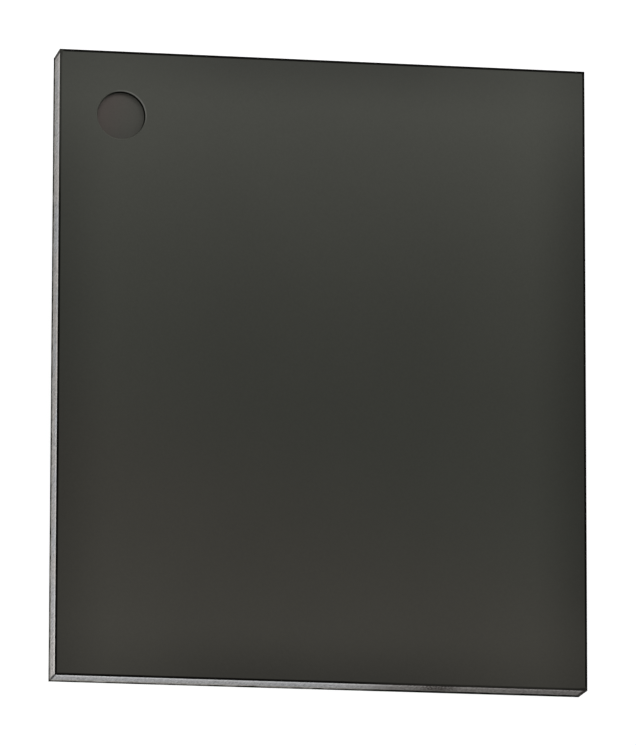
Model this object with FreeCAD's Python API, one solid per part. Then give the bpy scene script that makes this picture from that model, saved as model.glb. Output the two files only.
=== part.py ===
import FreeCAD, Part
import math
import os

# A ball grid array chip: a silicon die on a laminate substrate, wired with gold, moulded in
# dark epoxy and sawn out of its strip, with an eight by eight grid of solder balls below.
# Millimetres. The ball tips touch z = 0, the origin is under the middle of the body, +Z goes
# up through the moulded top, and ball A1 is at the -X, +Y corner, where the top has its dimple.

V = FreeCAD.Vector
UP = V(0, 0, 1)

# Body
body_width = 11.0
body_length = 13.0
cap_thickness = 0.60
core_thickness = 0.24
mask_thickness = 0.03

# Dimple in the top that marks the A1 corner
dimple_diameter = 1.03
dimple_depth = 0.12
dimple_draft = 0.01
dimple_inset_x = 1.28
dimple_inset_y = 1.35

# Solder balls, and the lands that they are soldered to
ball_rows = 8
ball_columns = 8
ball_pitch = 1.0
ball_diameter = 0.60
ball_tip_diameter = 0.20
ball_sides = 10
ball_bands = 4
land_diameter = 0.48
land_sides = 6

# Index mark near ball A1, plated copper bare in the lower mask
mark_leg = 0.55
mark_inset = 0.45

# Die and the film that holds it
die_width = 6.4
die_length = 7.6
die_thickness = 0.20
film_thickness = 0.025

# Copper on the upper face: a bond finger and a trace for each wire, and a via at its end
wires_per_end = 12
copper_thickness = 0.018
finger_pitch = 0.62
finger_width = 0.20
finger_length = 0.50
finger_setback = 0.95
window_margin = 0.12
trace_width = 0.12
via_diameter = 0.12
via_sides = 6

# Gold wires from the die to the fingers
pad_pitch = 0.44
pad_inset = 0.12
wire_diameter = 0.025
wire_sides = 4
bond_diameter = 0.07
bond_height = 0.02
neck_height = 0.01
loop_height = 0.13
loop_drop = 0.03
loop_reach = 0.45

# Heights that follow from the sizes, from the seating plane up
ball_radius = ball_diameter / 2
ball_top_angle = math.pi - math.asin(land_diameter / ball_diameter)
underside = ball_radius * (1 - math.cos(ball_top_angle))
core_bottom = underside + mask_thickness
core_top = core_bottom + core_thickness
mask_top = core_top + mask_thickness
die_bottom = mask_top + film_thickness
die_top = die_bottom + die_thickness
body_top = mask_top + cap_thickness
finger_middle_y = die_length / 2 + finger_setback


def centred(count, pitch):
    """Evenly spaced places on one axis, from low to high, with zero in their middle."""
    return [(index - (count - 1) / 2) * pitch for index in range(count)]


# Places of the grid. Row A is the one furthest towards +Y.
column_x = centred(ball_columns, ball_pitch)
row_y = centred(ball_rows, ball_pitch)[::-1]
finger_x = centred(wires_per_end, finger_pitch)
pad_x = centred(wires_per_end, pad_pitch)


def slab(width, length, low, high):
    """A plate between two heights, centred over the origin."""
    return Part.makeBox(width, length, high - low, V(-width / 2, -length / 2, low))


def ring(diameter, sides, centre):
    """The corners of a level polygon with an even number of sides, one of them facing +X."""
    corners = []
    for index in range(sides):
        angle = (index + 0.5) * 2 * math.pi / sides
        corners.append(centre + V(math.cos(angle), math.sin(angle), 0) * (diameter / 2))
    return corners


def flat_face(corners):
    """A flat face inside an outline of corners."""
    return Part.Face(Part.makePolygon(corners + corners[:1]))


def stacked(rings):
    """A solid with flat faces, skinned over rings that have as many corners each."""
    faces = [flat_face(rings[0]), flat_face(rings[-1])]
    for lower, upper in zip(rings, rings[1:]):
        for index in range(len(lower)):
            after = (index + 1) % len(lower)
            faces.append(flat_face([lower[index], lower[after], upper[after], upper[index]]))
    solid = Part.makeSolid(Part.makeShell(faces))
    if solid.Volume < 0:
        solid.reverse()
    return solid


def post(diameter, sides, x, y, low, high):
    """A small upright prism, for a round piece that needs no more faces."""
    return stacked([ring(diameter, sides, V(x, y, low)), ring(diameter, sides, V(x, y, high))])


def solder_ball(x, y):
    """A ball that wets its land at the top and has its tip on the seating plane."""
    tip_angle = math.asin(ball_tip_diameter / ball_diameter)
    rings = [ring(ball_tip_diameter, ball_sides, V(x, y, 0))]
    for band in range(1, ball_bands + 1):
        angle = tip_angle + (ball_top_angle - tip_angle) * band / ball_bands
        height = ball_radius * (1 - math.cos(angle))
        rings.append(ring(ball_diameter * math.sin(angle), ball_sides, V(x, y, height)))
    return stacked(rings)


def ball_lands():
    """Plated copper lands, one above each ball, level with the face of the lower mask."""
    return [post(land_diameter, land_sides, x, y, underside, core_bottom)
            for y in row_y for x in column_x]


def index_mark():
    """A plated triangle in the corner nearest to ball A1."""
    corner = V(-body_width / 2 + mark_inset, body_length / 2 - mark_inset, underside)
    outline = [corner, corner + V(0, -mark_leg, 0), corner + V(mark_leg, 0, 0)]
    return flat_face(outline).extrude(UP * mask_thickness)


def bottom_mask(lands, mark):
    """The lower solder mask, open at every land and at the index mark."""
    return slab(body_width, body_length, underside, core_bottom).cut(lands + [mark])


def trace_plan():
    """For each trace of one end, in order along X: where it passes the outer ball row, the
    column's place and the row of the land that it serves.

    Each land of the outer row has a trace. The other traces run between two outer lands to
    the next row in, the first of them near the corners.
    """
    plan = [(x, x, 0) for x in column_x]
    for x in column_x[:(wires_per_end - ball_columns) // 2]:
        gap_x = x + ball_pitch / 2
        plan += [(gap_x, x, 1), (-gap_x, -x, 1)]
    return sorted(plan)


def via_posts():
    """Filled vias through the core, each from the end of a trace down to its ball land."""
    return [post(via_diameter, via_sides, land_x, end * row_y[row], core_bottom, core_top)
            for end in (1, -1) for gap_x, land_x, row in trace_plan()]


def substrate_core(posts):
    """The glass-epoxy laminate, drilled for the vias."""
    return slab(body_width, body_length, core_bottom, core_top).cut(posts)


def strip(route):
    """The outline of a trace along a level route of points, mitred where it bends."""
    left = []
    right = []
    for index, point in enumerate(route):
        first_leg = route[max(index, 1)] - route[max(index, 1) - 1]
        next_leg = route[min(index + 1, len(route) - 1)] - route[min(index, len(route) - 2)]
        first_side = UP.cross(first_leg.normalize())
        mitre = (first_side + UP.cross(next_leg.normalize())).normalize()
        offset = mitre * (trace_width / 2 / mitre.dot(first_side))
        left.append(point + offset)
        right.append(point - offset)
    return left + right[::-1]


def finger_and_trace(start_x, gap_x, land_x, row, end):
    """A bond finger and its trace, which passes under the mask to its via."""
    route = [V(start_x, end * finger_middle_y, core_top)]
    if row > 0:
        route.append(V(gap_x, end * row_y[0], core_top))
    via = V(land_x, end * row_y[row], core_top)
    past_via = (via - route[-1]).normalize() * (trace_width / 2)
    route.append(via + past_via)
    trace = flat_face(strip(route)).extrude(UP * copper_thickness)
    corner = V(start_x - finger_width / 2, end * finger_middle_y - finger_length / 2, core_top)
    finger = Part.makeBox(finger_width, finger_length, copper_thickness, corner)
    return finger.fuse(trace).removeSplitter().Solids[0]


def top_copper(end):
    """All the fingers and traces of one end."""
    return [finger_and_trace(start_x, gap_x, land_x, row, end)
            for start_x, (gap_x, land_x, row) in zip(finger_x, trace_plan())]


def mask_window(end):
    """The opening in the upper mask that leaves one end's bond fingers bare."""
    width = 2 * finger_x[-1] + finger_width + 2 * window_margin
    length = finger_length + 2 * window_margin
    corner = V(-width / 2, end * finger_middle_y - length / 2, core_top)
    return Part.makeBox(width, length, mask_thickness, corner)


def top_mask(copper, windows):
    """The upper solder mask, laid over the traces and open at the bond fingers."""
    return slab(body_width, body_length, core_top, mask_top).cut(windows + copper)


def slid_to_plane(points, along, through, normal):
    """The points moved along one direction until they lie in a plane."""
    return [point + along * ((through - point).dot(normal) / along.dot(normal))
            for point in points]


def bond_wire(pad, landing):
    """A wire from its ball bond on the die, up and over the die's edge, to its finger."""
    crest = pad + UP * loop_height
    knee = crest + (landing - crest) * loop_reach
    knee.z = crest.z - loop_drop
    span = (knee - crest).normalize()
    fall = (landing - knee).normalize()
    bond_top = pad + UP * bond_height
    rings = [ring(bond_diameter, wire_sides, pad)]
    rings.append(ring(bond_diameter, wire_sides, bond_top))
    rings.append(ring(wire_diameter, wire_sides, bond_top + UP * neck_height))
    rings.append(slid_to_plane(rings[-1], UP, crest, UP + span))
    rings.append(slid_to_plane(rings[-1], span, knee, span + fall))
    rings.append(slid_to_plane(rings[-1], fall, landing, UP))
    return stacked(rings)


def bond_wires(end):
    """The wires of one end, which fan out from the die's pads to the wider spaced fingers."""
    pad_y = die_length / 2 - pad_inset
    finger_top = core_top + copper_thickness
    return [bond_wire(V(from_x, end * pad_y, die_top), V(to_x, end * finger_middle_y, finger_top))
            for from_x, to_x in zip(pad_x, finger_x)]


def dimple():
    """The round recess in the top at the A1 corner, with a little draft."""
    x = -body_width / 2 + dimple_inset_x
    y = body_length / 2 - dimple_inset_y
    mouth_radius = dimple_diameter / 2
    floor = V(x, y, body_top - dimple_depth)
    return Part.makeCone(mouth_radius - dimple_draft, mouth_radius, dimple_depth, floor)


def mold_cap(windows, sealed_in):
    """Moulding compound over the whole substrate, filled round all that it seals in."""
    cap = slab(body_width, body_length, mask_top, body_top).fuse(windows)
    return cap.cut(sealed_in + [dimple()]).removeSplitter()


def build():
    """Every piece of the chip, by name."""
    film = slab(die_width, die_length, mask_top, die_bottom)
    die = slab(die_width, die_length, die_bottom, die_top)
    lands = ball_lands()
    mark = index_mark()
    posts = via_posts()
    windows = [mask_window(1), mask_window(-1)]
    rear_copper = top_copper(1)
    front_copper = top_copper(-1)
    rear_wires = bond_wires(1)
    front_wires = bond_wires(-1)
    sealed_in = [film, die] + rear_copper + front_copper + rear_wires + front_wires
    nodes = {
        "mold_cap": mold_cap(windows, sealed_in),
        "silicon_die": die,
        "die_attach_film": film,
        "bond_wires_front": Part.makeCompound(front_wires),
        "bond_wires_rear": Part.makeCompound(rear_wires),
        "top_solder_mask": top_mask(rear_copper + front_copper, windows),
        "top_traces_front": Part.makeCompound(front_copper),
        "top_traces_rear": Part.makeCompound(rear_copper),
        "substrate_core": substrate_core(posts),
        "plated_vias": Part.makeCompound(posts),
        "ball_lands": Part.makeCompound(lands),
        "bottom_solder_mask": bottom_mask(lands, mark),
        "index_mark": mark,
    }
    for index, y in enumerate(row_y):
        row = Part.makeCompound([solder_ball(x, y) for x in column_x])
        nodes["solder_balls_row_" + chr(ord("a") + index)] = row
    return nodes


os.makedirs("parts", exist_ok=True)
for name, shape in build().items():
    shape.exportStep("parts/" + name + ".step")
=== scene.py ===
import math

import bmesh
import bpy
from mathutils import Matrix, Vector


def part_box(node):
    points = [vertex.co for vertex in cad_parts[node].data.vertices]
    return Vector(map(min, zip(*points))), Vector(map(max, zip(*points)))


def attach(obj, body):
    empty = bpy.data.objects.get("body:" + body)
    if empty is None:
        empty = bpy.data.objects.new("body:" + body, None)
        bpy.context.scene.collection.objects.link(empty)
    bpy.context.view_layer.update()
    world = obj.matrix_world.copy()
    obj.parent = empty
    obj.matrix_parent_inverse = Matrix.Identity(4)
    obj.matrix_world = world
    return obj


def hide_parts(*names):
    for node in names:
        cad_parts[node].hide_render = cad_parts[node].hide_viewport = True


# Looks of a ball grid array chip: a dark moulded cap sawn to size on all four sides, over a
# laminate substrate with a grid of solder balls below.

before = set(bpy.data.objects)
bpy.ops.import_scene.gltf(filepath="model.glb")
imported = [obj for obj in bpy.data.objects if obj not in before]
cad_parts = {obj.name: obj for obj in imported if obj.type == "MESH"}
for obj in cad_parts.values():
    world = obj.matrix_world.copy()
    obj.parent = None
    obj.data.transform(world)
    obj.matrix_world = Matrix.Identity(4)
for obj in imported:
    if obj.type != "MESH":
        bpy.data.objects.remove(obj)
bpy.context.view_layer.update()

# Sizes in millimetres, as in the solids. Pieces are shaped in millimetres and brought down to
# metres when they are done.
MM = 0.001


def measured(node, end, axis):
    """Where a solid's low end, 0, or its high end, 1, lies on an axis."""
    return round(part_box(node)[end]["XYZ".index(axis)] / MM, 3)


# Body
HALF_WIDTH = measured("mold_cap", 1, "X")
HALF_LENGTH = measured("mold_cap", 1, "Y")
UNDERSIDE = measured("bottom_solder_mask", 0, "Z")
CORE_BOTTOM = measured("substrate_core", 0, "Z")
MASK_TOP = measured("top_solder_mask", 1, "Z")
TOP = measured("mold_cap", 1, "Z")
RIM_WIDTH = 0.03
RIM_SEGMENTS = 3

# Dimple, with a rounded lip and foot
DIMPLE_X = 1.28 - HALF_WIDTH
DIMPLE_Y = HALF_LENGTH - 1.35
DIMPLE_DEPTH = 0.12
DIMPLE_SIDES = 96
MOUTH_RADIUS = 0.498
FLOOR_RADIUS = 0.489
LIP_ROUND = 0.021
FOOT_ROUND = 0.020
CURVE_STEPS = 4

# Balls, lands and the collar of lower mask round each land
BALLS = 8
PITCH = 1.0
FIRST = -(BALLS - 1) / 2 * PITCH
BALL_RADIUS = 0.30
LAND_RADIUS = 0.24
LAND_SIDES = 24
COLLAR_HEIGHT = 0.007

# Index mark
MARK_CORNER = (measured("index_mark", 0, "X"), measured("index_mark", 1, "Y"))
MARK_LEG = 0.55

# Die with its pads, and the windows over the bond fingers beyond it
DIE_TOP = measured("silicon_die", 1, "Z")
DIE_HALF_WIDTH = measured("silicon_die", 1, "X")
DIE_HALF_LENGTH = measured("silicon_die", 1, "Y")
PADS = 12
PAD_PITCH = 0.44
LAST_PAD = (PADS - 1) / 2 * PAD_PITCH
PAD_ROW = DIE_HALF_LENGTH - 0.12
WINDOW_EDGE = DIE_HALF_LENGTH + 0.58

# How near two places are that count as one, and how near corners are that are joined
CLOSE = 0.001
WELD = 0.0002


# Shaping pieces

def take(piece):
    """Select a piece alone and make it the active one."""
    bpy.ops.object.select_all(action="DESELECT")
    piece.select_set(True)
    bpy.context.view_layer.objects.active = piece


def begun(add, name, place=(0.0, 0.0, 0.0), **sizes):
    """A piece begun from a primitive, with its origin at the frame's origin."""
    bpy.ops.object.select_all(action="DESELECT")
    add(location=place, **sizes)
    bpy.ops.object.transform_apply(location=True, rotation=True, scale=True)
    piece = bpy.context.object
    piece.name = name
    return piece


def begun_from(node, name):
    """A merged copy of a solid's mesh in millimetres, for a piece that keeps part of it."""
    piece = bpy.data.objects.new(name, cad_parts[node].data.copy())
    bpy.context.collection.objects.link(piece)
    take(piece)
    piece.scale = (1 / MM,) * 3
    bpy.ops.object.transform_apply(location=False, rotation=False, scale=True)
    bpy.ops.mesh.customdata_custom_splitnormals_clear()
    bpy.ops.object.shade_flat()
    bpy.ops.object.mode_set(mode="EDIT")
    bpy.ops.mesh.select_all(action="SELECT")
    bpy.ops.mesh.remove_doubles(threshold=WELD)
    bpy.ops.object.mode_set(mode="OBJECT")
    return piece


def work_on(piece, kind="FACE"):
    """Open a piece for work on its faces, edges or vertices, with nothing selected."""
    take(piece)
    bpy.ops.object.mode_set(mode="EDIT")
    bpy.ops.mesh.select_mode(type=kind)
    bpy.ops.mesh.select_all(action="DESELECT")


def done():
    """Close the open piece."""
    bpy.ops.object.mode_set(mode="OBJECT")


def pick(kind, test):
    """In the open piece, select the "faces", "edges" or "verts" that pass a test, alone."""
    bpy.ops.mesh.select_mode(type={"faces": "FACE", "edges": "EDGE", "verts": "VERT"}[kind])
    bpy.ops.mesh.select_all(action="DESELECT")
    mesh = bpy.context.edit_object.data
    shape = bmesh.from_edit_mesh(mesh)
    for part in getattr(shape, kind):
        if test(part):
            part.select_set(True)
    shape.select_flush_mode()
    bmesh.update_edit_mesh(mesh)


def middle(part):
    """The middle of a face or an edge."""
    return sum((vert.co for vert in part.verts), Vector()) / len(part.verts)


def near(value, place):
    return abs(value - place) < CLOSE


def all_at(part, height):
    """Whether a face or an edge lies level at a height."""
    return all(near(vert.co.z, height) for vert in part.verts)


def open_at(height):
    """A test for edges that lie level at a height and don't join two faces."""
    return lambda edge: not edge.is_manifold and all_at(edge, height)


def turn_profile(centre, profile):
    """Carry the selected ring through (radius, height) places, as a lathe would cut them."""
    radius, height = profile[0]
    for next_radius, next_height in profile[1:]:
        bpy.ops.mesh.extrude_edges_move(
            TRANSFORM_OT_translate={"value": (0, 0, next_height - height)})
        ratio = next_radius / radius
        bpy.ops.transform.resize(value=(ratio, ratio, 1),
                                 center_override=(centre[0], centre[1], next_height))
        radius, height = next_radius, next_height


def smooth(test):
    """Shade the faces that pass a test smooth. The flat ones stay flat."""
    pick("faces", test)
    bpy.ops.mesh.faces_shade_smooth()


def face_out():
    """Turn all the faces of the open piece outwards."""
    bpy.ops.mesh.select_all(action="SELECT")
    bpy.ops.mesh.normals_make_consistent(inside=False)


def repeated(piece, steps):
    """Repeat a piece along each (count, offset), with the copies in its own mesh."""
    take(piece)
    for count, offset in steps:
        array = piece.modifiers.new("row", "ARRAY")
        array.count = count
        array.use_relative_offset = False
        array.use_constant_offset = True
        array.constant_offset_displace = offset
        bpy.ops.object.modifier_apply(modifier=array.name)


def copied(piece, name, move):
    """A copy with a mesh of its own, moved."""
    copy = bpy.data.objects.new(name, piece.data.copy())
    bpy.context.collection.objects.link(copy)
    copy.data.name = name
    copy.location = move
    take(copy)
    bpy.ops.object.transform_apply(location=True, rotation=False, scale=False)
    return copy


def hand_over(piece, nodes, finish):
    """Bring a finished piece down to metres and let it stand for its solids."""
    take(piece)
    piece.scale = (MM,) * 3
    bpy.ops.object.transform_apply(location=False, rotation=False, scale=True)
    piece.data.name = piece.name
    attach(piece, "root")
    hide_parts(*nodes)
    coat(piece, finish)


def coat(piece, finish):
    """Give a piece one finish all over."""
    piece.data.materials.clear()
    piece.data.materials.append(finish.material)


# Finishes

def rgb(red, green, blue):
    return (red, green, blue, 1.0)


class Level:
    """A value or colour inside a finish, which can be worked with like a number."""

    def __init__(self, finish, socket):
        self.finish = finish
        self.socket = socket

    def maths(self, operation, *others):
        return self.finish.node("ShaderNodeMath", {"operation": operation}, (self, *others))

    def __add__(self, other):
        return self.maths("ADD", other)

    __radd__ = __add__

    def __mul__(self, other):
        return self.maths("MULTIPLY", other)

    __rmul__ = __mul__

    def __sub__(self, other):
        return self.maths("SUBTRACT", other)

    def __rsub__(self, other):
        return self.finish.node("ShaderNodeMath", {"operation": "SUBTRACT"}, (other, self))

    def __truediv__(self, other):
        return self.maths("DIVIDE", other)

    def __abs__(self):
        return self.maths("ABSOLUTE")

    def root(self):
        return self.maths("SQRT")

    def greater(self, other):
        return self.maths("MAXIMUM", other)

    def lesser(self, other):
        return self.maths("MINIMUM", other)

    def to_and_fro(self, span):
        """Up from 0 to span and down again, over and over."""
        return self.maths("PINGPONG", span)

    def rise(self, start, end):
        """A soft step from 0 at start to 1 at end."""
        return self.finish.node("ShaderNodeMapRange", {"interpolation_type": "SMOOTHSTEP"},
                                (self, start, end, 0.0, 1.0))

    def fall(self, start, end):
        """A soft step from 1 at start to 0 at end."""
        return 1 - self.rise(start, end)


class Finish:
    """A material with its places given in millimetres."""

    def __init__(self, name, **fixed):
        self.material = bpy.data.materials.new(name)
        self.material.use_nodes = True
        self.tree = self.material.node_tree
        self.shader = next(node for node in self.tree.nodes if node.type == "BSDF_PRINCIPLED")
        for socket, value in fixed.items():
            self.shader.inputs[socket.replace("_", " ")].default_value = value
        place = self.node("ShaderNodeTexCoord", out="Object")
        self.place = self.node("ShaderNodeVectorMath", {"operation": "SCALE"},
                               {"Vector": place, "Scale": 1 / MM})
        self.x, self.y, self.z = (self.node("ShaderNodeSeparateXYZ", {}, (self.place,), axis)
                                  for axis in "XYZ")

    def node(self, kind, settings=None, inputs=(), out=0):
        """Add a node with its settings and then its sockets' values or links."""
        made = self.tree.nodes.new(kind)
        for name, value in (settings or {}).items():
            setattr(made, name, value)
        for key, value in (inputs.items() if isinstance(inputs, dict) else enumerate(inputs)):
            socket = self.socket(made.inputs, key)
            if isinstance(value, Level):
                self.tree.links.new(value.socket, socket)
            else:
                socket.default_value = value[:3] if socket.type == "VECTOR" else value
        return Level(self, self.socket(made.outputs, out))

    @staticmethod
    def socket(sockets, key):
        """A socket by its number, its identifier or its name."""
        if isinstance(key, int):
            return sockets[key]
        named = (socket for socket in sockets if socket.identifier == key)
        return next(named, None) or sockets[key]

    def stretched(self, stretch):
        """The place with each axis stretched by a factor of its own."""
        return self.node("ShaderNodeVectorMath", {"operation": "MULTIPLY"}, (self.place, stretch))

    def noise(self, scale, detail=2.0, stretch=(1.0, 1.0, 1.0)):
        """Cloudy noise from 0 to 1, with a number of grains per millimetre along each axis."""
        return self.node("ShaderNodeTexNoise", {},
                         {"Vector": self.stretched(stretch), "Scale": scale, "Detail": detail})

    def cells(self, scale, stretch=(1.0, 1.0, 1.0), out="Distance"):
        """Cells of uneven shapes: how far a place is from the middle of its cell."""
        return self.node("ShaderNodeTexVoronoi", {},
                         {"Vector": self.stretched(stretch), "Scale": scale}, out)

    def cell_tones(self, scale):
        """A tone from 0 to 1 for each cell."""
        return self.node("ShaderNodeSeparateColor", {}, (self.cells(scale, out="Color"),))

    def mixed(self, share, first, second):
        """The first colour where share is 0, and the second where it is 1."""
        return self.node("ShaderNodeMix", {"data_type": "RGBA"},
                         {"Factor_Float": share, "A_Color": first, "B_Color": second},
                         "Result_Color")

    def dimmed(self, colour, amount):
        """A colour made darker or lighter by a changing amount."""
        return self.node("ShaderNodeVectorMath", {"operation": "SCALE"},
                         {"Vector": colour, "Scale": amount})

    def feed(self, **sockets):
        """Link levels to the shader's sockets."""
        for socket, value in sockets.items():
            self.tree.links.new(value.socket, self.shader.inputs[socket.replace("_", " ")])

    def relief(self, height, depth):
        """Raise the surface by height, of which 1 is as many millimetres as depth."""
        self.feed(Normal=self.node("ShaderNodeBump", {},
                                   {"Strength": 1.0, "Distance": depth * MM, "Height": height},
                                   "Normal"))

    def below_top(self):
        """How far a place lies below the top of the cap."""
        return TOP - self.z

    def from_front(self):
        """How far a place lies from the front side of the body."""
        return self.y + HALF_LENGTH

    def from_back(self):
        """How far a place lies from the back side of the body."""
        return HALF_LENGTH - self.y

    def insets(self):
        """How far a place lies inside the nearer long side, and inside the nearer short one."""
        return HALF_WIDTH - abs(self.x), HALF_LENGTH - abs(self.y)

    def inset(self):
        """How far a place lies inside the nearest side of the body."""
        from_long_side, from_short_side = self.insets()
        return from_long_side.lesser(from_short_side)

    def side(self):
        """1 on the sawn sides of the body, and 0 inside them."""
        return self.inset().fall(0.003, 0.008)

    def saw_marks(self):
        """Fine scratches along the sides, as a dicing blade leaves them."""
        long_marks = self.noise(1.0, 3.0, (0.9, 0.9, 34.0))
        short_marks = self.noise(1.0, 2.0, (7, 7, 60))
        return long_marks * 0.6 + short_marks * 0.4

    def chatter(self):
        """Upright marks in the sides, where the blade shook."""
        return self.noise(1.0, 3.0, (19, 19, 4))

    def grit(self):
        """Fine grains in the sides, bared by the blade."""
        return self.noise(1.0, 2.0, (26, 26, 8))


def compound_finish():
    """Dark epoxy: fine grained on top under painted light and shade, black and smooth at the rim,
    black and smooth with painted shade on the far part of the dimple's wall, with a painted
    highlight on its lip, and pale on the sawn sides, where the blade has smeared and scratched it,
    with a painted highlight under the rim."""
    finish = Finish("dark_moulding_compound", Specular_IOR_Level=0.0, Coat_Roughness=0.45)
    grain = finish.noise(22.0, 3.0)
    cloud = finish.noise(0.55, 3.0)
    texture = 0.815 + grain * 0.19 + cloud * 0.095
    # Painted light and shade: the top is made paler towards its left, right and front, and darker
    # along its edges.
    face = finish.dimmed(top_colour(finish), texture * painted_light_and_shade_on_top(finish))
    # The dimple, with painted light and a painted highlight on its lip and painted shade on its far
    # wall.
    face, wall = with_dimple(finish, face, grain, cloud)
    # Near black: painted shade on the far part of the dimple's wall, and a black line round the
    # top.
    painted_shade_and_black_rim = wall.greater(rim_line(finish) * (0.80 + finish.noise(1.4) * 0.35))
    face = finish.mixed(painted_shade_and_black_rim, face, rgb(0.0035, 0.0034, 0.003))

    side = finish.side() * finish.below_top().rise(RIM_WIDTH, RIM_WIDTH + 0.010)
    marks = finish.saw_marks()
    specks = finish.cells(30.0).fall(0.16, 0.34)
    sawn = darkened_edges_and_front_right(finish, sawn_compound(finish, marks, specks))
    finish.feed(Base_Color=finish.mixed(side, face, sawn),
                Roughness=0.50 + grain * 0.12 + side * 0.12 - painted_shade_and_black_rim * 0.12,
                Coat_Weight=(1 - side) * (1 - painted_shade_and_black_rim) * 0.12)
    height = grain * (1 - side) * (1 - painted_shade_and_black_rim) * 0.5 + side * (marks * 0.8 - specks * 0.5)
    finish.relief(height, 0.003)
    return finish


def top_colour(finish):
    """Dark grey, a little warmer at the front."""
    towards_back = (finish.y + finish.x * 0.35).rise(-4.6, -0.6)
    return finish.mixed(towards_back, rgb(0.0403, 0.0388, 0.0330), rgb(0.0379, 0.0390, 0.0330))


def painted_light_and_shade_on_top(finish):
    """Painted light and shade on the top: paler towards the left, the right and the front, and
    darker again along its edges."""
    shoulder = abs(finish.x).rise(1.4, 5.0)
    front = finish.from_front().fall(0.5, 6.5)
    back = finish.from_back().fall(0.5, 3.0)
    right = finish.x.rise(0.0, 3.0) * finish.from_front().rise(0.7, 2.5)
    from_long_side, from_short_side = finish.insets()
    # Painted shade along the long sides and along the short sides of the top.
    painted_shade_long_sides = from_long_side.fall(-0.25, 1.25) * (0.27 + right * 0.11 - back * 0.17)
    painted_shade_short_sides = from_short_side.fall(-0.25, 1.20) * (0.39 - shoulder * 0.19)
    return (1 + shoulder * 0.14 + front * 0.06) * (1 - painted_shade_long_sides) * (1 - painted_shade_short_sides)


def with_dimple(finish, face, grain, cloud):
    """The top's colour with the dimple in it, with painted light on the near side of its lip and a
    painted highlight on the far side, and a level that is 1 on the far part of the dimple's wall,
    which painted shade makes black, and which is smooth."""
    across_x, across_y = finish.x - DIMPLE_X, finish.y - DIMPLE_Y
    from_middle = (across_x * across_x + across_y * across_y).root()
    past_mouth = from_middle - MOUTH_RADIUS
    depth = finish.below_top()
    far_side = (across_x + across_y) / from_middle

    floor = depth.rise(DIMPLE_DEPTH - 0.014, DIMPLE_DEPTH - 0.006) * past_mouth.fall(-0.025, -0.011)
    reddish = (across_x - across_y * 0.3 + cloud * 0.3).fall(-0.35, 0.50)
    floor_colour = finish.mixed(reddish, rgb(0.0410, 0.0405, 0.0350), rgb(0.0480, 0.0405, 0.0365))
    face = finish.mixed(floor, face, finish.dimmed(floor_colour, 0.9 + grain * 0.2))

    # Painted light: the lip on the near side is made lighter to make up for the shade it lies in.
    painted_light_near_lip = (past_mouth.rise(-0.008, 0.0) * past_mouth.fall(0.010, 0.020)
                * far_side.fall(-0.10, 0.50))
    face = finish.dimmed(face, 1 + painted_light_near_lip * 0.30)
    # Painted highlight: a light line along the far side of the lip, as if its rounding caught the
    # light.
    painted_lip_highlight = (past_mouth.rise(-0.003, 0.003)
                * past_mouth.fall(LIP_ROUND + 0.002, LIP_ROUND + 0.014)
                * depth.fall(0.010, 0.014) * far_side.rise(0.35, 1.40))
    face = finish.mixed(painted_lip_highlight * 0.53, face, rgb(0.13, 0.13, 0.12))

    # Painted shade: the far part of the dimple's wall is painted near black and smooth, as a shadow
    # on it.
    wall = (past_mouth.rise(-0.025, -0.017) * past_mouth.fall(0.001, 0.007)
            * depth.rise(0.010, 0.022) * depth.fall(DIMPLE_DEPTH - 0.034, DIMPLE_DEPTH - 0.016)
            * far_side.rise(0.02, 0.80))
    return face, wall


def rim_line(finish):
    """1 on the black line round the top. It is wider at the right and the back, and fainter at
    the left towards the back, and at the front towards the right."""
    at_right = (HALF_WIDTH - finish.x).fall(0.10, 0.20)
    at_back = finish.from_back().fall(0.10, 0.20)
    at_left = (HALF_WIDTH + finish.x).fall(0.04, 0.10) * finish.from_back().fall(0.0, 5.0)
    at_front = finish.from_front().fall(0.04, 0.10) * right_half(finish)
    widened = (at_right * 0.010).greater(at_back * 0.015)
    faint = (at_left * 0.60).greater(at_front * 0.40)
    line = (finish.inset() - widened).fall(0.036, 0.048)
    return line * finish.below_top().fall(RIM_WIDTH, RIM_WIDTH + 0.010) * (1 - faint)


def right_half(finish):
    """0 on the left half of the body, and rising to 1 across its right half."""
    return finish.x.rise(0.3, 1.9)


def sawn_compound(finish, marks, specks):
    """Sawn compound: pale, with a painted highlight that makes it palest under the rim, with warmer
    patches and a warm front right.
    """
    wave = finish.noise(0.8, 2.0, (1, 1, 4))
    tone = marks * 0.24 + wave * 0.16 + finish.chatter() * 0.80 + (finish.grit() - 0.5) * 1.5
    front = finish.from_front().fall(0.01, 0.03)
    patches = finish.noise(0.9, 2.0).rise(0.38, 0.58)
    warm = patches * (1 - front * 0.85) + front * finish.x.rise(0.0, 2.5) * 0.85
    colour = finish.mixed(warm, rgb(0.313, 0.315, 0.323), rgb(0.333, 0.318, 0.307))
    # Painted highlight: the sides are made paler just under the rim, as if the edge caught the
    # light.
    painted_highlight_under_rim = finish.below_top().fall(0.07, 0.30)
    return finish.dimmed(colour, tone + 0.40 + painted_highlight_under_rim * 0.58 - specks * 0.20)


def away(finish):
    """0 on the front left of the sides, and 1 towards the right and the back."""
    return finish.x.rise(0.3, 2.0).greater(finish.from_front().rise(3.5, 11.5))


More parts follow.
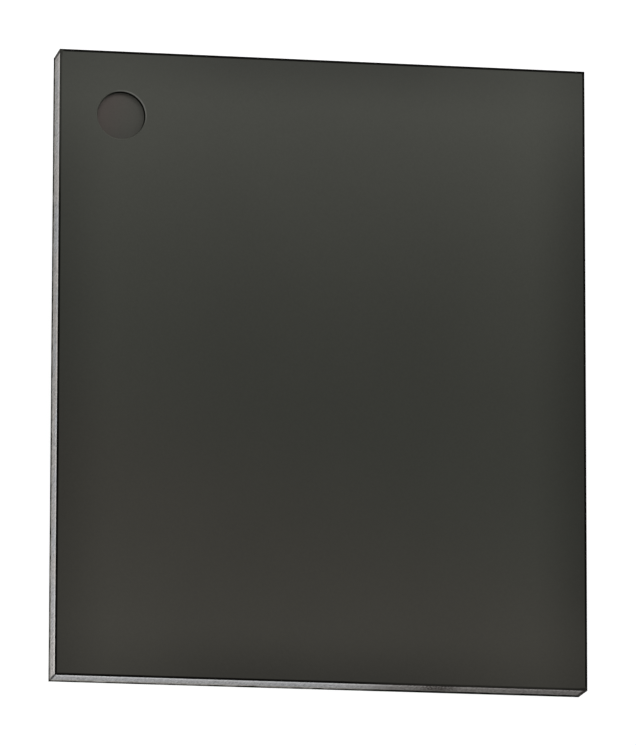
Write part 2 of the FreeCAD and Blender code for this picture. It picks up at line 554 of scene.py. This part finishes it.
def darkened_edges_and_front_right(finish, sawn):
    """The colour of the sawn sides, dark along their upright edges and on the right half of
    the front side."""
    from_long_side, from_short_side = finish.insets()
    from_upright_edge = from_long_side.greater(from_short_side)
    line = (from_upright_edge - away(finish) * 0.06).fall(0.016, 0.040)
    line_strength = 0.82 + finish.x.rise(0.0, 2.0) * 0.13
    sawn = finish.mixed(line * line_strength, sawn, rgb(0.010, 0.010, 0.009))

    front = finish.from_front().fall(0.002, 0.006)
    streaks = finish.noise(5.0, 3.0, (1, 1, 6))
    # Darker over the right half of the front side, broken up by streaks and grains.
    front_right_darkening = right_half(finish) * (streaks * 0.28 - 0.40 + finish.grit() * 1.70)
    patch = finish.x.rise(1.85, 2.4) * finish.x.fall(2.5, 3.0) * 0.29
    return finish.mixed(front * (front_right_darkening + patch).lesser(1.0), sawn, rgb(0.050, 0.045, 0.041))


def laminate_finish():
    """Glass and epoxy, with the ends of the glass bundles in its sawn edge."""
    finish = Finish("glass_epoxy_laminate", Specular_IOR_Level=0.0)
    marks = finish.saw_marks()
    bundles = finish.cells(1.0, (3.4, 3.4, 13.0)).fall(0.25, 0.6)
    sawn = finish.mixed(bundles, rgb(0.250, 0.240, 0.222), rgb(0.370, 0.360, 0.345))
    sawn = finish.dimmed(sawn, marks * 0.3 + finish.chatter() * 0.7 + finish.grit())
    sawn = finish.mixed(dark_foot(finish), darkened_edges_and_front_right(finish, sawn), rgb(0.008, 0.008, 0.007))

    along = finish.noise(3.0, 2.0, (1.0, 0.15, 1.0))
    across = finish.noise(3.0, 2.0, (0.15, 1.0, 1.0))
    weave = along * 0.5 + across * 0.5
    inside = finish.dimmed(rgb(0.42, 0.38, 0.22), 0.8 + weave * 0.4)
    finish.feed(Base_Color=finish.mixed(finish.side(), inside, sawn),
                Roughness=0.6 + marks * 0.15)
    finish.relief(marks * 0.7 + bundles * 0.5, 0.003)
    return finish


def dark_foot(finish):
    """The ragged dark foot of the laminate's edge, which is highest at the front right."""
    smeared = right_half(finish) * finish.from_front().fall(0.3, 1.3)
    ragged = CORE_BOTTOM + 0.06 + smeared * 0.09 + finish.noise(5.0, 4.0, (1, 1, 0)) * 0.15
    patches = finish.noise(3.5, 2.0, (1, 1, 0)).rise(0.38, 0.62)
    return finish.z.fall(ragged, ragged + 0.03) * (0.62 + patches * 0.38 + away(finish) * 0.22)


def mask_finish(name, edge_colour):
    """Green lacquer with a satin face, lighter where it climbs over the lands."""
    finish = Finish(name, Specular_IOR_Level=0.0, Coat_Roughness=0.28)
    ripple = finish.noise(1.6, 3.0)
    dust = finish.noise(14.0, 2.0)
    green = finish.dimmed(rgb(0.012, 0.045, 0.022), 0.82 + ripple * 0.30 + dust * 0.08)
    over_land = land_distance(finish).fall(LAND_RADIUS + 0.060, LAND_RADIUS + 0.085)
    green = finish.mixed(over_land * 0.55, green, rgb(0.045, 0.115, 0.045))
    edge = finish.dimmed(edge_colour, 0.7 + finish.saw_marks() * 0.6)
    side = finish.side()
    finish.feed(Base_Color=finish.mixed(side, green, edge),
                Roughness=0.45 + ripple * 0.15 + side * 0.3,
                Coat_Weight=(1 - side) * 0.5)
    finish.relief(ripple * 0.6 + dust * 0.25, 0.004)
    return finish


def land_distance(finish):
    """How far a place is from the middle of the nearest ball land, seen from below."""
    def from_nearest(value):
        within_grid = (value + PITCH / 2).to_and_fro(PITCH / 2)
        beyond_grid = abs(value) + FIRST
        return within_grid.greater(beyond_grid)

    x, y = from_nearest(finish.x), from_nearest(finish.y)
    return (x * x + y * y).root()


def solder_finish():
    """Satin tin alloy, a little frosted where its grains froze."""
    finish = Finish("reflowed_solder", Metallic=1.0)
    tone = finish.cell_tones(14.0)
    frost = finish.noise(38.0, 3.0)
    shade = finish.noise(1.1, 1.0)
    colour = finish.dimmed(rgb(0.61, 0.605, 0.59), 0.83 + tone * 0.12 + shade * 0.14)
    finish.feed(Base_Color=colour, Roughness=0.25 + tone * 0.10 + frost * 0.14)
    finish.relief(frost * 0.5 + tone * 0.35, 0.0016)
    return finish


def metal_finish(name, colour, dull, roughness, scratch):
    """Plated or drawn metal, with duller clouds and fine scratches."""
    finish = Finish(name, Metallic=1.0)
    cloud = finish.noise(3.0, 3.0)
    lines = finish.noise(1.0, 3.0, (4.0, 60.0, 20.0))
    finish.feed(Base_Color=finish.mixed(cloud.rise(0.3, 0.8) * 0.6, colour, dull),
                Roughness=roughness + cloud * 0.12 + lines * scratch)
    finish.relief(lines * 0.5 + cloud * 0.3, 0.001)
    return finish


def copper_finish():
    """Copper traces, gold plated on the bond fingers that the mask leaves bare."""
    finish = Finish("traces_and_fingers", Metallic=1.0)
    etch = finish.noise(9.0, 3.0)
    bare = abs(finish.y).rise(WINDOW_EDGE - 0.01, WINDOW_EDGE)
    copper = finish.dimmed(rgb(0.72, 0.36, 0.20), 0.8 + etch * 0.3)
    gold = finish.dimmed(rgb(0.86, 0.62, 0.24), 0.85 + etch * 0.2)
    finish.feed(Base_Color=finish.mixed(bare, copper, gold),
                Roughness=0.46 + etch * 0.2 - bare * 0.2)
    finish.relief(etch, 0.0012)
    return finish


def silicon_finish():
    """A finished die: banks of cells round a spine, with a row of pads at each end."""
    finish = Finish("finished_silicon", Specular_IOR_Level=0.8)
    from_side, from_end = DIE_HALF_WIDTH - abs(finish.x), DIE_HALF_LENGTH - abs(finish.y)
    across = finish.x.to_and_fro(0.8).rise(0.06, 0.09) * from_side.rise(0.15, 0.18)
    along = (finish.y - 0.4).to_and_fro(0.9).rise(0.07, 0.10) * from_end.rise(0.38, 0.42)
    bank = across * along
    rows = finish.x.to_and_fro(0.02) / 0.02
    columns = finish.y.to_and_fro(0.05) / 0.05
    logic = finish.cell_tones(7.0)
    spine = finish.dimmed(rgb(0.15, 0.14, 0.17), 0.6 + logic * 0.8)
    cells = finish.dimmed(rgb(0.12, 0.17, 0.21), 0.75 + rows * 0.2 + columns * 0.15)

    from_pad_x = (finish.x + PAD_PITCH / 2).to_and_fro(PAD_PITCH / 2)
    from_pad_y = abs(abs(finish.y) - PAD_ROW)
    pad = (from_pad_x.fall(0.038, 0.043) * from_pad_y.fall(0.038, 0.043)
           * abs(finish.x).fall(LAST_PAD + 0.08, LAST_PAD + 0.10))
    face = finish.mixed(pad, finish.mixed(bank, spine, cells), rgb(0.78, 0.78, 0.76))
    sawn = finish.dimmed(rgb(0.14, 0.14, 0.15), 0.8 + logic * 0.3)
    on_top = finish.z.rise(DIE_TOP - 0.003, DIE_TOP - 0.001)
    finish.feed(Base_Color=finish.mixed(on_top, sawn, face),
                Metallic=0.25 + pad * on_top * 0.7,
                Roughness=0.16 + logic * 0.06 + pad * 0.2)
    finish.relief(bank * 0.5 + logic * 0.3 + pad, 0.0012)
    return finish


def film_finish():
    """Thin amber adhesive, a little uneven."""
    finish = Finish("die_film", Specular_IOR_Level=0.5)
    cloud = finish.noise(2.2, 3.0)
    grit = finish.noise(25.0, 2.0)
    finish.feed(Base_Color=finish.mixed(cloud, rgb(0.34, 0.26, 0.11), rgb(0.25, 0.19, 0.09)),
                Roughness=0.48 + grit * 0.2)
    finish.relief(cloud * 0.6 + grit * 0.3, 0.002)
    return finish


# The cap

def moulded_cap():
    """The cap with its rim and dimple rounded. The hollows round what it seals in stay."""
    cap = begun_from("mold_cap", "moulded_cap")
    work_on(cap)
    above_hollows = TOP - 0.2

    def is_outside(face):
        centre = middle(face)
        on_side = (abs(centre.x) > HALF_WIDTH - CLOSE
                   or abs(centre.y) > HALF_LENGTH - CLOSE)
        return on_side or centre.z > above_hollows

    pick("faces", is_outside)
    bpy.ops.mesh.delete(type="FACE")
    pick("edges", lambda edge: edge.is_boundary)
    bpy.ops.mesh.extrude_edges_move(TRANSFORM_OT_translate={"value": (0, 0, TOP - MASK_TOP)})
    bpy.ops.mesh.edge_face_add()
    pick("edges", lambda edge: all_at(edge, TOP))
    bpy.ops.mesh.bevel(offset=RIM_WIDTH, segments=RIM_SEGMENTS, profile=0.5, affect="EDGES")

    pick("faces", lambda face: near(middle(face).z, TOP))
    bpy.ops.mesh.delete(type="ONLY_FACE")
    profile = dimple_profile()
    bpy.ops.mesh.primitive_circle_add(vertices=DIMPLE_SIDES, radius=profile[0][0],
                                      location=(DIMPLE_X, DIMPLE_Y, TOP))
    pick("edges", open_at(TOP))
    bpy.ops.mesh.fill(use_beauty=False)
    pick("edges", lambda edge: edge.is_boundary)
    turn_profile((DIMPLE_X, DIMPLE_Y), profile)
    bpy.ops.mesh.edge_face_add()

    pick("faces", is_outside)
    bpy.ops.mesh.normals_make_consistent(inside=False)

    def is_curved(face):
        centre = middle(face)
        is_level = all_at(face, TOP) or all_at(face, TOP - DIMPLE_DEPTH)
        from_dimple = (centre - Vector((DIMPLE_X, DIMPLE_Y, centre.z))).length
        in_dimple = centre.z > TOP - DIMPLE_DEPTH and from_dimple < MOUTH_RADIUS + 0.1
        return not is_level and (in_dimple or centre.z > TOP - RIM_WIDTH)

    smooth(is_curved)
    done()
    return cap


def dimple_profile():
    """(radius, height) places down the dimple: a rounded lip, the wall and a rounded foot."""
    floor = TOP - DIMPLE_DEPTH
    angles = [math.pi / 2 * step / CURVE_STEPS for step in range(CURVE_STEPS + 1)]
    lip = [(MOUTH_RADIUS + LIP_ROUND * (1 - math.sin(angle)),
            TOP - LIP_ROUND * (1 - math.cos(angle))) for angle in angles]
    foot = [(FLOOR_RADIUS - FOOT_ROUND * (1 - math.cos(angle)),
             floor + FOOT_ROUND * (1 - math.sin(angle))) for angle in angles]
    return lip + foot


# The underside

def ball_row():
    """One row of balls: a ball cut flat where it wets its land, repeated along the row."""
    ball = begun(bpy.ops.mesh.primitive_uv_sphere_add, "ball", (FIRST, 0, BALL_RADIUS),
                 segments=32, ring_count=20, radius=BALL_RADIUS)
    work_on(ball)
    bpy.ops.mesh.select_all(action="SELECT")
    bpy.ops.mesh.bisect(plane_co=(0, 0, UNDERSIDE), plane_no=(0, 0, 1), use_fill=True,
                        clear_outer=True, threshold=0.0001)
    smooth(lambda face: middle(face).z < UNDERSIDE - CLOSE)
    face_out()
    done()
    repeated(ball, [(BALLS, (PITCH, 0, 0))])
    return ball


def land_grid():
    """Round lands, plated over a slightly rounded edge."""
    land = begun(bpy.ops.mesh.primitive_cylinder_add, "lands",
                 (FIRST, FIRST, (UNDERSIDE + CORE_BOTTOM) / 2), vertices=LAND_SIDES,
                 radius=LAND_RADIUS, depth=CORE_BOTTOM - UNDERSIDE)
    work_on(land)
    pick("edges", lambda edge: all_at(edge, CORE_BOTTOM))
    bpy.ops.mesh.bevel(offset=0.005, segments=2, affect="EDGES")
    pick("faces", lambda face: all_at(face, UNDERSIDE))
    bpy.ops.mesh.inset(thickness=0.012)
    face_out()
    done()
    repeated(land, [(BALLS, (PITCH, 0, 0)), (BALLS, (0, PITCH, 0))])
    return land


def lower_mask():
    """The lower mask, which climbs a little over the rim of each land, and is open at the
    lands and the index mark."""
    mask = begun(bpy.ops.mesh.primitive_circle_add, "lower_mask", (FIRST, FIRST, CORE_BOTTOM),
                 vertices=LAND_SIDES, radius=LAND_RADIUS)
    work_on(mask, "EDGE")
    bpy.ops.mesh.select_all(action="SELECT")
    crest = UNDERSIDE - COLLAR_HEIGHT
    collar = [(0.0, CORE_BOTTOM), (0.0, UNDERSIDE), (0.009, crest + 0.001), (0.022, crest),
              (0.045, crest + 0.001), (0.062, UNDERSIDE - 0.003), (0.080, UNDERSIDE)]
    turn_profile((FIRST, FIRST), [(LAND_RADIUS + out, height) for out, height in collar])
    smooth(lambda face: middle(face).z < UNDERSIDE)
    done()
    repeated(mask, [(BALLS, (PITCH, 0, 0)), (BALLS, (0, PITCH, 0))])

    work_on(mask, "EDGE")
    bpy.ops.mesh.primitive_plane_add(size=2, location=(0, 0, UNDERSIDE))
    bpy.ops.transform.resize(value=(HALF_WIDTH, HALF_LENGTH, 1), center_override=(0, 0, UNDERSIDE))
    pick("faces", lambda face: near(face.calc_area(), 4 * HALF_WIDTH * HALF_LENGTH))
    bpy.ops.mesh.delete(type="ONLY_FACE")
    pick("edges", lambda edge: edge.calc_length() > 2 * HALF_WIDTH - CLOSE)
    up = {"value": (0, 0, CORE_BOTTOM - UNDERSIDE)}
    bpy.ops.mesh.extrude_edges_move(TRANSFORM_OT_translate=up)
    add_mark_corners()
    bpy.ops.mesh.extrude_edges_move(TRANSFORM_OT_translate=up)
    for height in (UNDERSIDE, CORE_BOTTOM):
        pick("edges", open_at(height))
        bpy.ops.mesh.fill(use_beauty=False)
    face_out()
    done()
    return mask


def add_mark_corners():
    """Add the three-cornered outline of the index mark to the open piece, selected alone."""
    x, y = MARK_CORNER
    bpy.ops.mesh.primitive_plane_add(
        size=MARK_LEG, location=(x + MARK_LEG / 2, y - MARK_LEG / 2, UNDERSIDE))
    pick("verts", lambda vert: near(vert.co.x, x + MARK_LEG) and near(vert.co.y, y - MARK_LEG))
    bpy.ops.mesh.delete(type="VERT")
    pick("verts", lambda vert: len(vert.link_edges) == 1)
    bpy.ops.mesh.edge_face_add()
    pick("edges", lambda edge: edge.is_wire)


# The whole chip

laminate = laminate_finish()
upper_mask_finish = mask_finish("upper_solder_mask", rgb(0.250, 0.250, 0.230))
lower_mask_finish = mask_finish("lower_solder_mask", rgb(0.012, 0.018, 0.012))
solder = solder_finish()
gold_plate = metal_finish("gold_plate", rgb(0.86, 0.62, 0.25), rgb(0.72, 0.50, 0.20), 0.26, 0.10)
gold_wire = metal_finish("gold_wire", rgb(0.88, 0.62, 0.22), rgb(0.78, 0.54, 0.20), 0.18, 0.08)
copper_plate = metal_finish("copper_plate", rgb(0.74, 0.38, 0.22), rgb(0.60, 0.29, 0.17),
                            0.36, 0.12)
traces = copper_finish()

hand_over(moulded_cap(), ["mold_cap"], compound_finish())
hand_over(land_grid(), ["ball_lands"], gold_plate)
hand_over(lower_mask(), ["bottom_solder_mask"], lower_mask_finish)

pattern_row = ball_row()
for index, letter in enumerate("abcdefgh"):
    row = copied(pattern_row, "balls_row_" + letter, (0, -FIRST - index * PITCH, 0))
    hand_over(row, ["solder_balls_row_" + letter], solder)
bpy.data.objects.remove(pattern_row)

for node, finish in {
    "silicon_die": silicon_finish(),
    "die_attach_film": film_finish(),
    "bond_wires_front": gold_wire,
    "bond_wires_rear": gold_wire,
    "top_solder_mask": upper_mask_finish,
    "top_traces_front": traces,
    "top_traces_rear": traces,
    "substrate_core": laminate,
    "plated_vias": copper_plate,
    "index_mark": gold_plate,
}.items():
    coat(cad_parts[node], finish)


# Studio

def seen_directly(tree):
    """1 for what the camera, a mirror-like surface or glass sees, and 0 for plain lighting."""
    path = tree.nodes.new("ShaderNodeLightPath")
    seen = path.outputs["Is Camera Ray"]
    for other in ("Is Glossy Ray", "Is Transmission Ray"):
        either = tree.nodes.new("ShaderNodeMath")
        either.operation = "MAXIMUM"
        tree.links.new(seen, either.inputs[0])
        tree.links.new(path.outputs[other], either.inputs[1])
        seen = either.outputs[0]
    return seen


def white_room(ambient):
    """A white room that lights the object gently and shows as plain white."""
    world = bpy.data.worlds.new("white_room")
    bpy.context.scene.world = world
    world.use_nodes = True
    tree = world.node_tree
    background = tree.nodes["Background"]
    background.inputs["Color"].default_value = rgb(1, 1, 1)
    level = tree.nodes.new("ShaderNodeMapRange")
    level.inputs["To Min"].default_value = ambient
    level.inputs["To Max"].default_value = 1.0
    tree.links.new(seen_directly(tree), level.inputs["Value"])
    tree.links.new(level.outputs["Result"], background.inputs["Strength"])


def white_floor():
    """A white floor under the ball tips, which shows the object's shadow faintly."""
    floor = begun(bpy.ops.mesh.primitive_plane_add, "floor", size=4.0)
    material = bpy.data.materials.new("white_floor")
    material.use_nodes = True
    tree = material.node_tree
    shader = next(node for node in tree.nodes if node.type == "BSDF_PRINCIPLED")
    shader.inputs["Base Color"].default_value = rgb(0.88, 0.88, 0.88)
    shader.inputs["Roughness"].default_value = 0.9
    shader.inputs["Specular IOR Level"].default_value = 0.0
    glow = tree.nodes.new("ShaderNodeEmission")
    glow.inputs["Strength"].default_value = 1.2
    share = tree.nodes.new("ShaderNodeMath")
    share.operation = "MULTIPLY"
    share.inputs[1].default_value = 0.75
    tree.links.new(seen_directly(tree), share.inputs[0])
    mix = tree.nodes.new("ShaderNodeMixShader")
    tree.links.new(share.outputs[0], mix.inputs[0])
    tree.links.new(shader.outputs[0], mix.inputs[1])
    tree.links.new(glow.outputs[0], mix.inputs[2])
    output = next(node for node in tree.nodes if node.type == "OUTPUT_MATERIAL")
    tree.links.new(mix.outputs[0], output.inputs["Surface"])
    floor.data.materials.append(material)


def soft_lamp(name, place, aim, size, share):
    """A soft box in millimetres, size wide and deep. Its share is how much of a plain white
    light it gives to a small surface at its aim that faces it."""
    place, aim = Vector(place) * MM, Vector(aim) * MM
    light = bpy.data.lights.new(name, "AREA")
    light.shape = "RECTANGLE"
    light.size, light.size_y = size[0] * MM, size[1] * MM
    light.energy = share * math.pi ** 2 * (place - aim).length ** 2
    lamp = bpy.data.objects.new(name, light)
    lamp.location = place
    lamp.rotation_euler = (place - aim).to_track_quat("Z", "Y").to_euler()
    lamp.visible_camera = False
    bpy.context.collection.objects.link(lamp)


def photo_camera():
    """The photograph's view: nearly from above, a little from the front left, with a long
    lens. The camera stands off from the middle of the top, along axes of its own."""
    photo_height, focal_pixels = 745, 7868.7
    turn_x, turn_y, turn_z = (math.radians(angle) for angle in (-11.223, 10.206, -0.107))
    stand_off = Vector((-0.1106, -0.0750, 161.108)) * MM
    turn = (Matrix.Rotation(turn_x, 4, "X") @ Matrix.Rotation(turn_y, 4, "Y")
            @ Matrix.Rotation(turn_z, 4, "Z"))
    lens = bpy.data.cameras.new("photo_camera")
    lens.sensor_width = 36.0
    lens.lens = focal_pixels * lens.sensor_width / photo_height
    lens.clip_start = 0.01
    camera = bpy.data.objects.new("photo_camera", lens)
    bpy.context.collection.objects.link(camera)
    camera.matrix_world = (Matrix.Translation(Vector((0, 0, TOP)) * MM) @ turn.transposed()
                           @ Matrix.Translation(stand_off))
    bpy.context.scene.camera = camera


white_room(ambient=0.22)
white_floor()
soft_lamp("far_soft_box", place=(0.5, 9, 9), aim=(0.5, 5, TOP), size=(24, 5), share=2.28)
soft_lamp("near_soft_box", place=(0.5, -8, 7), aim=(0.5, -5, TOP), size=(24, 5), share=1.56)
soft_lamp("left_soft_box", place=(-28, -22, 6), aim=(-2, -3, 1), size=(10, 10), share=0.58)
photo_camera()
bpy.context.scene.view_settings.view_transform = "Standard"
